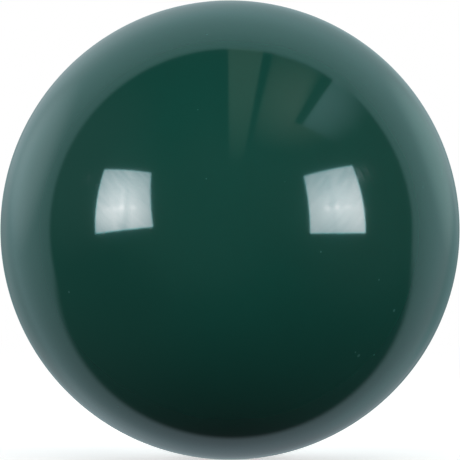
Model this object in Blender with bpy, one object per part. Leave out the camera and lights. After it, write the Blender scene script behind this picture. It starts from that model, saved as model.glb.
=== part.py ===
"""Full-size snooker ball: one solid sphere of cast resin, ground round and polished.

Metres, +Z up, with the origin at the centre of the ball.
"""

import bpy

# Driving dimensions, in metres
BALL_DIAMETER = 0.0525
ROUNDNESS_TOLERANCE = 0.00005  # the deepest that a facet may lie under the true sphere

# Finish of the resin
RESIN_GREEN = (0.005, 0.049, 0.036, 1.0)
POLISHED_ROUGHNESS = 0.04
RESIN_IOR = 1.6


def clear_scene():
    """Removes the objects that the scene opens with."""
    for obj in list(bpy.data.objects):
        bpy.data.objects.remove(obj)


def polished_resin():
    """Green resin, coloured right through, with a mirror polish."""
    material = bpy.data.materials.new("polished_green_resin")
    material.use_nodes = True
    shader = material.node_tree.nodes["Principled BSDF"]
    shader.inputs["Base Color"].default_value = RESIN_GREEN
    shader.inputs["Roughness"].default_value = POLISHED_ROUGHNESS
    shader.inputs["Metallic"].default_value = 0.0
    shader.inputs["IOR"].default_value = RESIN_IOR
    return material


def add_ball(collection):
    """An icosphere with its corners on the true sphere, split until its facets are within the tolerance."""
    radius = BALL_DIAMETER / 2
    levels = 0
    facet_depth = radius
    while facet_depth > ROUNDNESS_TOLERANCE:
        levels += 1
        bpy.ops.mesh.primitive_ico_sphere_add(subdivisions=levels, radius=radius)
        ball = bpy.context.object
        facet_depth = max(radius - facet.center.length for facet in ball.data.polygons)
        if facet_depth > ROUNDNESS_TOLERANCE:
            bpy.data.objects.remove(ball)
    ball.name = "ball"
    ball.data.name = "ball"
    ball.data.shade_smooth()
    ball.data.materials.append(polished_resin())
    for home in list(ball.users_collection):
        home.objects.unlink(ball)
    collection.objects.link(ball)
    return ball


clear_scene()
snooker_ball = bpy.data.collections.new("snooker_ball")
bpy.context.scene.collection.children.link(snooker_ball)
add_ball(snooker_ball)
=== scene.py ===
import math

import bpy
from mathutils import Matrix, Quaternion, Vector


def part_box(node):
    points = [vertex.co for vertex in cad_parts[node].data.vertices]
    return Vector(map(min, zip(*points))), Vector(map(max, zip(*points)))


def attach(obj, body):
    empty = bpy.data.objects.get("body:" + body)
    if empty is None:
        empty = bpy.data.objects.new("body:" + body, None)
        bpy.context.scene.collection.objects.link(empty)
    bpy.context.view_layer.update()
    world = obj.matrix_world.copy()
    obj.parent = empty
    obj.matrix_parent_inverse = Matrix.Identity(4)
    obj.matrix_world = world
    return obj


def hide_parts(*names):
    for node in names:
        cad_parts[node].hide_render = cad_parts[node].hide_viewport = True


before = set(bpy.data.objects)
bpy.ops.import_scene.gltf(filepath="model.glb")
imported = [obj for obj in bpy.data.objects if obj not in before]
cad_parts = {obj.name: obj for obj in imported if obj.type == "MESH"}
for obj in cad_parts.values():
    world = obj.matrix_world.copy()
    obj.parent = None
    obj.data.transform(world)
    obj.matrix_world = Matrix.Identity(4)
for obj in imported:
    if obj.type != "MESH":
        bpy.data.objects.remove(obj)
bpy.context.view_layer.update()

# The ball: one solid sphere of cast phenolic resin, with its deep green pigment right through it.
# It leaves its mould rough, is ground until it is round to a few hundredths of a millimetre,
# and is then polished to a mirror gloss. Nothing is fixed to it.
lowest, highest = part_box("ball")
BALL_RADIUS = (highest.z - lowest.z) / 2
BALL_SQUARES = 96  # along each edge of the six patches that the surface is divided into

RESIN_GREEN = (0.0052, 0.0565, 0.0404)
CLOUDED_GREEN = (0.0049, 0.0541, 0.0387)
CLOUD_SIZE = 0.012
CLOUD_DETAIL = 3
CLOUD_LEVELS = (0.35, 0.65)  # of the noise, where a cloud starts and where it is full
SPECK_COLOUR = (0.045, 0.130, 0.115)
SPECK_SPACING = 0.0043
SPECK_RADIUS = 0.00015
SPECK_CORE = 0.4  # the share of a speck's radius that has its full colour
LONE_SPECKS = (  # the way to each from the ball's centre, and its radius
    ((0.695, -0.632, -0.341), 0.00024),
    ((0.545, -0.648, -0.532), 0.00026),
    ((-0.099, -0.972, 0.214), 0.00011),
    ((-0.135, -0.853, 0.505), 0.00010),
)

RESIN_IOR = 1.6
POLISH_ROUGHNESS = 0.060
HANDLED_ROUGHNESS = 0.070
HANDLED_SIZE = 0.016
HANDLED_DETAIL = 2
HANDLED_LEVELS = (0.45, 0.70)
HAZE_SHARE = 0.034
HAZE_ROUGHNESS = 0.22
HAIRLINE_ROUGHNESS = 0.12
HAIRLINE_WIDTH = 0.00012
HAIRLINE_LENGTH = 0.010
HAIRLINE_SCALE = 0.35  # waves of the noise in each width and length
HAIRLINE_DETAIL = 1
HAIRLINE_LEVELS = (0.68, 0.80)
HAIRLINE_TURNS = ((20, 0, 35), (75, 30, 0), (0, 110, 50))  # how the polishing wheel met it, in degrees
SCUFFS = (  # the way to each from the ball's centre, its reach, and the turn and roughness of its lines
    ((0.59, -0.77, 0.25), 0.0037, (0, -25, 0), 0.24),
    ((-0.61, -0.76, 0.22), 0.0030, (0, 12, 0), 0.17),
)
SCUFF_LINE_WIDTH = 0.00006
SCUFF_LEVELS = (0.30, 0.65)  # lower than a hairline's, so that the lines lie close together


def fill(tree, socket, value):
    """Links an input to another node's output, or sets it to a plain value."""
    if isinstance(value, bpy.types.NodeSocket):
        tree.links.new(value, socket)
    else:
        socket.default_value = value


def add_node(tree, kind, *values, **options):
    """A new node. Values fill its inputs in order, an option with a capital fills the input of that name,
    and any other option is a setting of the node."""
    made = tree.nodes.new("ShaderNode" + kind)
    wanted = dict(enumerate(values))
    for name, value in options.items():
        if name[0].isupper():
            wanted[name.replace("_", " ")] = value
        else:
            setattr(made, name, value)
    for name, value in wanted.items():
        fill(tree, made.inputs[name], value)
    return made


def ramp(tree, value, start, end, low=0.0, high=1.0):
    """A smooth rise from low, where value is at start, to high, where it is at end."""
    return add_node(
        tree, "MapRange", Value=value, From_Min=start, From_Max=end, To_Min=low, To_Max=high,
        interpolation_type="SMOOTHSTEP",
    ).outputs["Result"]


def product(tree, first, second):
    return add_node(tree, "Math", first, second, operation="MULTIPLY").outputs["Value"]


def larger(tree, first, second):
    return add_node(tree, "Math", first, second, operation="MAXIMUM").outputs["Value"]


def measure(tree, operation, *vectors):
    """A number worked out from vectors, such as a length or a distance."""
    return add_node(tree, "VectorMath", *vectors, operation=operation).outputs["Value"]


def colour_between(tree, share, first, second):
    """The first colour where share is 0 and the second where it is 1."""
    mix = add_node(tree, "Mix", data_type="RGBA", clamp_factor=False)
    sockets = {socket.identifier: socket for socket in mix.inputs}
    fill(tree, sockets["Factor_Float"], share)
    for name, colour in (("A_Color", first), ("B_Color", second)):
        linked = isinstance(colour, bpy.types.NodeSocket)
        fill(tree, sockets[name], colour if linked else (*colour, 1))
    return next(socket for socket in mix.outputs if socket.identifier == "Result_Color")


def noise(tree, place, scale, detail):
    return add_node(tree, "TexNoise", Vector=place, Scale=scale, Detail=detail).outputs["Fac"]


def local_place(tree, place, size, middle=(0, 0, 0), turn=(0, 0, 0)):
    """A place measured from a middle, along axes turned by so many degrees, in steps of a size."""
    return add_node(
        tree, "Mapping", Vector=place, Location=middle, Rotation=[math.radians(angle) for angle in turn],
        Scale=size, vector_type="TEXTURE",
    ).outputs["Vector"]


def hairlines(tree, place, turn, width, levels):
    """Thin lines that all run one way and fade in and out, 1 on a line and 0 off it."""
    along = local_place(tree, place, (width, width, HAIRLINE_LENGTH), turn=turn)
    return ramp(tree, noise(tree, along, HAIRLINE_SCALE, HAIRLINE_DETAIL), *levels)


def distance_to(tree, place, towards):
    """How far a place is from the point on the ball's surface that lies this way from its centre."""
    return measure(tree, "DISTANCE", place, Vector(towards).normalized() * BALL_RADIUS)


def polished_resin():
    """Green resin with faint clouds of pigment, a few pale specks and the finest marks of its polishing."""
    material = bpy.data.materials.new("polished_green_resin")
    material.use_nodes = True
    tree = material.node_tree
    shader = tree.nodes["Principled BSDF"]
    place = add_node(tree, "TexCoord").outputs["Object"]

    cloud = ramp(tree, noise(tree, place, 1 / CLOUD_SIZE, CLOUD_DETAIL), *CLOUD_LEVELS)
    colour = colour_between(tree, cloud, RESIN_GREEN, CLOUDED_GREEN)
    nearest = add_node(tree, "TexVoronoi", Vector=place, Scale=1 / SPECK_SPACING).outputs["Distance"]
    speck_edge = SPECK_RADIUS / SPECK_SPACING
    speck = ramp(tree, nearest, speck_edge, SPECK_CORE * speck_edge)
    for towards, radius in LONE_SPECKS:
        lone = ramp(tree, distance_to(tree, place, towards), radius, SPECK_CORE * radius)
        speck = larger(tree, speck, lone)
    colour = colour_between(tree, speck, colour, SPECK_COLOUR)
    tree.links.new(colour, shader.inputs["Base Color"])

    handled = noise(tree, place, 1 / HANDLED_SIZE, HANDLED_DETAIL)
    roughness = ramp(tree, handled, *HANDLED_LEVELS, POLISH_ROUGHNESS, HANDLED_ROUGHNESS)
    for turn in HAIRLINE_TURNS:
        line = hairlines(tree, place, turn, HAIRLINE_WIDTH, HAIRLINE_LEVELS)
        roughness = larger(tree, roughness, product(tree, line, HAIRLINE_ROUGHNESS))
    for towards, reach, turn, line_roughness in SCUFFS:
        line = hairlines(tree, place, turn, SCUFF_LINE_WIDTH, SCUFF_LEVELS)
        scuff = product(tree, ramp(tree, distance_to(tree, place, towards), reach, 0.0), line)
        roughness = larger(tree, roughness, product(tree, scuff, line_roughness))
    tree.links.new(roughness, shader.inputs["Roughness"])
    shader.inputs["IOR"].default_value = RESIN_IOR
    shader.inputs["Coat Weight"].default_value = HAZE_SHARE
    shader.inputs["Coat Roughness"].default_value = HAZE_ROUGHNESS
    shader.inputs["Coat IOR"].default_value = RESIN_IOR
    return material


bpy.ops.object.select_all(action="DESELECT")
bpy.ops.mesh.primitive_cube_add(size=2 * BALL_RADIUS)
ball = bpy.context.object
ball.name = "polished_ball"
bpy.ops.object.mode_set(mode="EDIT")
bpy.ops.mesh.select_all(action="SELECT")
bpy.ops.mesh.subdivide(number_cuts=BALL_SQUARES - 1)
bpy.ops.object.mode_set(mode="OBJECT")
grinding = ball.modifiers.new("grinding", "CAST")
grinding.cast_type = "SPHERE"
grinding.factor = 1
grinding.size = BALL_RADIUS
grinding.use_radius_as_size = False
bpy.ops.object.modifier_apply(modifier=grinding.name)
bpy.ops.object.shade_smooth()
ball.data.materials.append(polished_resin())
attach(ball, "root")
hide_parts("ball")

# The two main lights: square boxes fronted with white cloth, each with a row of lamps inside. The cloth is
# creased and has a cool hem, and a faint cool light spills past it. They stand in front of the ball, left
# and right and just above it, and the ball mirrors both.
FACE_ENERGY = math.pi  # gives a lamp's face a radiance of 1 times its colour
HALF_FACE = 0.5
MAIN_EDGE_COLOUR = (4.2, 5.4, 5.8)
MAIN_MIDDLE_COLOUR = (11.4, 11.7, 11.9)
CREASE_SIZE = (0.45, 0.05, 1.0)  # as shares of the face
CREASE_DETAIL = 3
CREASE_LEVELS = (0.25, 0.75)
CREASE_STRENGTH = 0.12
HEM_WIDTH = 0.016  # as a share of the face
HEM_TINT = (0.2, 1.0, 1.0)
NO_TINT = (1.0, 1.0, 1.0)
MAIN_LIGHTS = {
    "left_light": {
        "centre": (-0.896, -0.627, 0.284),
        "facing": (0.817, 0.523, 0.243),
        "roll": 5.5,
        "sides": (0.588, 0.592),
        "crease_turn": -40,
        "glows": (
            ((0.46, 0.14), (0.85, 1.08), 0.95),  # the whole cloth
            ((0.25, -0.09), (1.20, 0.38), -0.58),  # its dim lower edge
            ((0.48, 0.33), (0.06, 0.07), 0.40),  # a lamp
            ((0.67, 0.31), (0.08, 0.08), 0.24),  # a lamp
            ((0.40, 0.31), (0.42, 0.07), 0.20),  # the row that the lamps stand in
            ((0.48, 0.38), (0.10, 0.42), 0.42),  # the light that the first lamp throws up the cloth
            ((0.50, 0.19), (0.16, 0.66), -0.36),  # a dim upright fold
        ),
    },
    "right_light": {
        "centre": (0.893, -0.642, 0.260),
        "facing": (-0.863, 0.506, 0.012),
        "roll": 0.8,
        "sides": (0.604, 0.578),
        "crease_turn": 40,
        "glows": (
            ((0.66, 0.33), (1.20, 0.77), 0.71),  # the whole cloth
            ((0.45, -0.03), (0.67, 0.38), -0.22),  # its dim lower edge
            ((0.33, 0.38), (0.08, 0.07), 0.44),  # a lamp
            ((0.51, 0.38), (0.07, 0.07), 0.40),  # a lamp
            ((0.70, 0.37), (0.12, 0.05), 0.22),  # a lamp
            ((0.74, 0.34), (1.00, 0.08), 0.09),  # the row that the lamps stand in
            ((0.44, 0.44), (0.09, 0.95), -0.11),  # a dim upright fold
        ),
    },
}


def total(tree, first, second):
    return add_node(tree, "Math", first, second, operation="ADD").outputs["Value"]


def vector_from(tree, operation, *values, **options):
    """A vector or colour worked out from others, such as their sum."""
    return add_node(tree, "VectorMath", *values, operation=operation, **options).outputs["Vector"]


def light_panel(
    name, centre, facing, roll, sides, glows, edge_colour, middle_colour, crease_turn=None, shade=None,
):
    """An area lamp whose face goes from its edge colour to its middle colour as the glows on it add up.
    A glow is a place on the face, a reach and a strength. A shade is a place and a reach, in which the glows
    fade out. Places and reaches are shares of the face. A face with creases has a hem too."""
    bpy.ops.object.light_add(type="AREA", location=centre)
    panel = bpy.context.object
    panel.name = name
    turn = Vector(facing).to_track_quat("-Z", "Y") @ Quaternion((0, 0, 1), math.radians(roll))
    panel.rotation_euler = turn.to_euler()
    panel.data.shape = "RECTANGLE"
    panel.data.size, panel.data.size_y = sides
    panel.data.normalize = False
    panel.data.energy = FACE_ENERGY
    panel.data.use_nodes = True
    tree = panel.data.node_tree
    place = add_node(tree, "NewGeometry").outputs["Parametric"]

    def away_from(spot, reach):
        return measure(tree, "LENGTH", local_place(tree, place, (*reach, 1), middle=(*spot, 0)))

    share = 0.0
    for spot, reach, strength in glows:
        share = total(tree, share, ramp(tree, away_from(spot, reach), 1.0, 0.0, 0.0, strength))
    if shade is not None:
        share = product(tree, share, ramp(tree, away_from(*shade), 0.0, 1.0))
    if crease_turn is not None:
        creases = local_place(tree, place, CREASE_SIZE, turn=(0, 0, crease_turn))
        crease = noise(tree, creases, 1, CREASE_DETAIL)
        share = total(tree, share, ramp(tree, crease, *CREASE_LEVELS, -CREASE_STRENGTH, CREASE_STRENGTH))
    face = colour_between(tree, share, edge_colour, middle_colour)
    if crease_turn is not None:
        from_middle = vector_from(tree, "SUBTRACT", place, (HALF_FACE, HALF_FACE, 0))
        parts = add_node(tree, "SeparateXYZ", vector_from(tree, "ABSOLUTE", from_middle)).outputs
        hem = ramp(tree, larger(tree, parts["X"], parts["Y"]), HALF_FACE - HEM_WIDTH, HALF_FACE)
        face = vector_from(tree, "MULTIPLY", face, colour_between(tree, hem, NO_TINT, HEM_TINT))
    tree.links.new(face, tree.nodes["Emission"].inputs["Color"])


SPILL_SIZE = 1.5  # as a share of the face
SPILL_BEHIND = 0.01
SPILL_COLOUR = (0.0, 0.47, 0.62)
SPILL_GLOW = ((0.5, 0.5), (0.5, 0.5), 1.0)  # full in the middle and gone at the edges
UNLIT = (0.0, 0.0, 0.0)
for name, light in MAIN_LIGHTS.items():
    light_panel(name, edge_colour=MAIN_EDGE_COLOUR, middle_colour=MAIN_MIDDLE_COLOUR, **light)
    light_panel(
        name + "_spill",
        centre=Vector(light["centre"]) - SPILL_BEHIND * Vector(light["facing"]),
        facing=light["facing"],
        roll=light["roll"],
        sides=[SPILL_SIZE * side for side in light["sides"]],
        glows=(SPILL_GLOW,),
        edge_colour=UNLIT,
        middle_colour=SPILL_COLOUR,
    )

# The lights overhead: four weak flat panels side by side, hung face down above the ball, one of them shaded
# along an edge. The top of the ball mirrors them as faint strips.
OVERHEAD_HEIGHT = 1.5
OVERHEAD_LIGHTS = {
    "overhead_light_1": {
        "across": (-0.015, 0.28),
        "along": (-2.45, 0.33),
        "brightest": (0.13, -0.45),
        "reach": (1.2, 2.1),
        "colour": (0.28, 0.39, 0.31),
    },
    "overhead_light_2": {
        "across": (0.37, 0.89),
        "along": (-1.70, 0.33),
        "brightest": (0.85, -0.45),
        "reach": (1.2, 1.4),
        "colour": (0.36, 0.44, 0.36),
        "shaded": ((0.95, 0.10), (0.19, 1.15)),  # the darkest place, and how far the shade reaches
    },
    "overhead_light_3": {
        "across": (0.89, 1.60),
        "along": (-1.70, -0.83),
        "brightest": (0.85, -0.45),
        "reach": (1.0, 1.4),
        "colour": (0.31, 0.38, 0.29),
    },
    "overhead_light_4": {
        "across": (1.03, 2.05),
        "along": (-0.83, 0.43),
        "brightest": (1.00, -0.30),
        "reach": (1.05, 1.65),
        "colour": (0.48, 0.80, 0.87),
    },
}


def on_face(light, place, reach):
    """A place and a reach in metres, as shares of an overhead light's face."""
    left, right = light["across"]
    front, back = light["along"]
    width, length = right - left, back - front
    spot = ((place[0] - left) / width, (place[1] - front) / length)
    return spot, (reach[0] / width, reach[1] / length)


for name, light in OVERHEAD_LIGHTS.items():
    left, right = light["across"]
    front, back = light["along"]
    light_panel(
        name,
        centre=((left + right) / 2, (front + back) / 2, OVERHEAD_HEIGHT),
        facing=(0, 0, -1),
        roll=0.0,
        sides=(right - left, back - front),
        glows=((*on_face(light, light["brightest"], light["reach"]), 1.0),),
        edge_colour=UNLIT,
        middle_colour=light["colour"],
        shade=on_face(light, *light["shaded"]) if "shaded" in light else None,
    )

# The top light: a broad soft lamp above the ball and in front of it, turned towards it.
# It lightens the ball's upper half, and is kept out of the ball's reflections.
TOP_SIDE = 1.0
TOP_PLACE = Vector((0.0, -1.0, 1.1))
TOP_COLOUR = (1.42, 1.40, 1.38)
bpy.ops.object.light_add(type="AREA", location=TOP_PLACE)
top_light = bpy.context.object
top_light.name = "top_light"
top_light.rotation_euler = (-TOP_PLACE).to_track_quat("-Z", "Y").to_euler()
top_light.data.size = TOP_SIDE
top_light.data.normalize = False
top_light.data.energy = FACE_ENERGY
top_light.data.color = TOP_COLOUR
top_light.visible_glossy = False

# The surroundings: a pale sheet hung behind and over the ball, open to the dim side that the camera is on.
# The ball's rim mirrors the sheet, which is brighter where the main lights fall on it and dimmer straight
# behind the ball. The camera sees plain white behind the ball, and pale grey on its own side.
SHEET_AXIS = Vector((-0.015, 1.0, 0.0)).normalized()
SHEET_FRONT_ANGLES = (79.4, 75.8)  # degrees from the axis, where the sheet starts and where it is whole
SHEET_FULL_ANGLE = 62.0  # degrees from the axis, where the sheet has its full brightness
SHEET_FRONT_SHARE = 0.80  # how bright it is at its front edge
SHEET_LOWER_EDGE = Vector((-0.09, 1.51, 1.0)).normalized()  # the sheet lies on this side of its lower edge
SHEET_LOWER_FADE = (0.02, 0.13)
SHEET_LOW_COLOUR = (0.28, 0.35, 0.40)
SHEET_HIGH_COLOUR = (0.49, 0.75, 0.80)
SHEET_HEIGHTS = (-1.1, 0.34)  # of the low colour and of the high one
SHEET_GLOWS = (  # the way to each, how near to that way it starts, and the light that it adds or takes
    ((-0.75, 0.61, 0.26), 0.93, (0.34, 0.40, 0.42)),  # bright on the left
    ((0.62, 0.76, 0.22), 0.95, (0.19, 0.30, 0.28)),  # bright on the right
    ((0.20, 0.98, 0.03), 0.73, (-0.10, -0.22, -0.24)),  # dim behind
    ((-0.43, 0.89, -0.14), 0.955, (-0.12, -0.19, -0.21)),  # dim on the left
    ((0.44, 0.89, -0.12), 0.975, (-0.11, -0.07, -0.08)),  # dim on the right
    ((-0.33, 0.88, 0.33), 0.90, (0.065, 0.01, 0.01)),  # warm, high on the left
    ((0.35, 0.92, 0.17), 0.988, (0.08, 0.10, 0.10)),  # a small spot on the right
    ((0.40, 0.82, -0.40), 0.965, (0.02, 0.07, 0.07)),  # pale, low on the right
    ((-0.31, 0.87, -0.39), 0.965, (0.045, 0.03, 0.03)),  # pale, low on the left
)
SHADE_PLACE = (0.0, 0.0, -0.025)  # the dim patch straight behind the ball
SHADE_REACH = (0.46, 10.0, 0.19)  # so long from front to back that only the place across and up counts
SHADE_CORE = 0.3  # the share of its reach that is fully dim
SHADE_TILT = 6  # degrees
SHADE_COLOUR = (-0.21, -0.22, -0.24)
DIM_COLOUR = (0.036, 0.031, 0.036)
DIM_GLOWS = (  # as for the sheet
    ((-0.95, -0.18, -0.25), 0.37, (0.022, 0.022, 0.022)),  # the left
    ((-0.90, -0.13, 0.42), 0.75, (0.072, 0.090, 0.094)),  # behind the left light
    ((-0.24, -0.96, 0.14), 0.63, (0.043, 0.043, 0.043)),  # beside the camera
    ((0.86, -0.39, 0.32), 0.48, (0.063, 0.063, 0.063)),  # round the right light
)
WHITE = (1.0, 1.0, 1.0, 1.0)
PALE_GREY = 0.84  # as a share of white
WHITE_FADE = (0.1, 0.6)  # how far back the grey ends and the white begins
UPWARDS = Vector((0, 0, 1))
BACKWARDS = Vector((0, 1, 0))


def surroundings():
    """The light that reaches the ball from each direction, and the plain backdrop that the camera sees."""
    world = bpy.data.worlds.new("surroundings")
    bpy.context.scene.world = world
    world.use_nodes = True
    tree = world.node_tree
    direction = add_node(tree, "TexCoord").outputs["Generated"]

    def along(axis):
        return measure(tree, "DOT_PRODUCT", direction, axis)

    def with_glows(colour, glows):
        for towards, start, tint in glows:
            share = ramp(tree, along(Vector(towards).normalized()), start, 1.0)
            colour = vector_from(tree, "ADD", colour, vector_from(tree, "SCALE", tint, Scale=share))
        return colour

    front, whole = (math.cos(math.radians(angle)) for angle in SHEET_FRONT_ANGLES)
    full = math.cos(math.radians(SHEET_FULL_ANGLE))
    height = ramp(tree, along(UPWARDS), *SHEET_HEIGHTS)
    sheet = colour_between(tree, height, SHEET_LOW_COLOUR, SHEET_HIGH_COLOUR)
    share = ramp(tree, along(SHEET_AXIS), front, full, SHEET_FRONT_SHARE, 1.0)
    sheet = with_glows(vector_from(tree, "SCALE", sheet, Scale=share), SHEET_GLOWS)
    from_shade = local_place(tree, direction, SHADE_REACH, SHADE_PLACE, (0, SHADE_TILT, 0))
    dimmed = ramp(tree, measure(tree, "LENGTH", from_shade), 1.0, SHADE_CORE)
    sheet = vector_from(tree, "ADD", sheet, vector_from(tree, "SCALE", SHADE_COLOUR, Scale=dimmed))
    behind = ramp(tree, along(SHEET_AXIS), front, whole)
    above = ramp(tree, along(SHEET_LOWER_EDGE), *SHEET_LOWER_FADE)
    dim_side = with_glows(DIM_COLOUR, DIM_GLOWS)
    mirrored = colour_between(tree, product(tree, behind, above), dim_side, sheet)
    light = tree.nodes["Background"]
    tree.links.new(mirrored, light.inputs["Color"])

    strength = ramp(tree, along(BACKWARDS), *WHITE_FADE, PALE_GREY, 1.0)
    backdrop = add_node(tree, "Background", Color=WHITE, Strength=strength)
    to_camera = add_node(tree, "LightPath").outputs["Is Camera Ray"]
    both = (light.outputs["Background"], backdrop.outputs["Background"])
    choice = add_node(tree, "MixShader", to_camera, *both).outputs["Shader"]
    tree.links.new(choice, tree.nodes["World Output"].inputs["Surface"])


surroundings()

# The floor: a plain pale board that the ball stands on. Near the ball it is lit and takes a soft shadow, and
# further off it has an even tone, which runs into the white that the camera sees behind the ball.
# Mirrored and bounced light pass it by, so that the ball's underside stays deep green.
FLOOR_SIDE = 60.0
FLOOR_COLOUR = (0.93, 0.78, 0.75)
LIT_REACH = (0.06, 0.60)  # how far from the ball's middle the light on the floor starts to fade, and is gone
GLOW_BEHIND = (0.60, 1.00)  # the white that the camera sees added, near the ball and far from it
GLOW_BEFORE = (0.18, 0.84)
GLOW_CHANGE = (-0.18, 0.0)  # how far back the second gives way to the first
GLOW_CURVE = 0.10  # the line between them bends back on both sides of the ball, this far out
GLOW_BEND = 0.5


def pale_board():
    """Pale paint, lit only near the ball, and a white glow that only the camera sees."""
    material = bpy.data.materials.new("pale_board")
    material.use_nodes = True
    tree = material.node_tree
    tree.nodes.remove(tree.nodes["Principled BSDF"])
    place = add_node(tree, "TexCoord").outputs["Object"]
    away = measure(tree, "LENGTH", place)
    lit = ramp(tree, away, *LIT_REACH, 1.0, 0.0)
    colour = vector_from(tree, "SCALE", FLOOR_COLOUR, Scale=lit)
    paint = add_node(tree, "BsdfDiffuse", Color=colour).outputs["BSDF"]

    parts = add_node(tree, "SeparateXYZ", place).outputs
    across = add_node(tree, "CombineXYZ", parts["X"], GLOW_CURVE).outputs["Vector"]
    bend = product(tree, measure(tree, "LENGTH", across), GLOW_BEND)
    back = add_node(tree, "Math", parts["Y"], bend, operation="SUBTRACT").outputs["Value"]
    start, end = (place_back - GLOW_CURVE * GLOW_BEND for place_back in GLOW_CHANGE)
    glows = [ramp(tree, away, *LIT_REACH, *glow) for glow in (GLOW_BEFORE, GLOW_BEHIND)]
    to_camera = add_node(tree, "LightPath").outputs["Is Camera Ray"]
    glow = product(tree, ramp(tree, back, start, end, *glows), to_camera)
    shown = add_node(tree, "Emission", Strength=glow).outputs["Emission"]
    both = add_node(tree, "AddShader", paint, shown).outputs["Shader"]
    tree.links.new(both, tree.nodes["Material Output"].inputs["Surface"])
    return material


bpy.ops.object.select_all(action="DESELECT")
bpy.ops.mesh.primitive_plane_add(size=FLOOR_SIDE, location=(0, 0, lowest.z))
floor = bpy.context.object
floor.name = "floor"
bpy.ops.object.transform_apply(location=True)
floor.data.materials.append(pale_board())
floor.visible_glossy = False
floor.visible_diffuse = False

# The camera: a long lens, level with the middle of the ball and turned straight to it.
# The ball nearly fills the square picture, and colours are shown as they are.
CAMERA_DISTANCE = 0.60
CAMERA_NEAREST = 0.01
PICTURE_SIDE = 460
BALL_IN_PICTURE = 459.3  # pixels across
outline = BALL_RADIUS / math.sqrt(CAMERA_DISTANCE**2 - BALL_RADIUS**2)
bpy.ops.object.camera_add(location=(0, -CAMERA_DISTANCE, 0), rotation=(math.radians(90), 0, 0))
camera = bpy.context.object
camera.data.lens = camera.data.sensor_width / 2 / (outline * PICTURE_SIDE / BALL_IN_PICTURE)
camera.data.clip_start = CAMERA_NEAREST
bpy.context.scene.camera = camera
bpy.context.scene.view_settings.view_transform = "Standard"
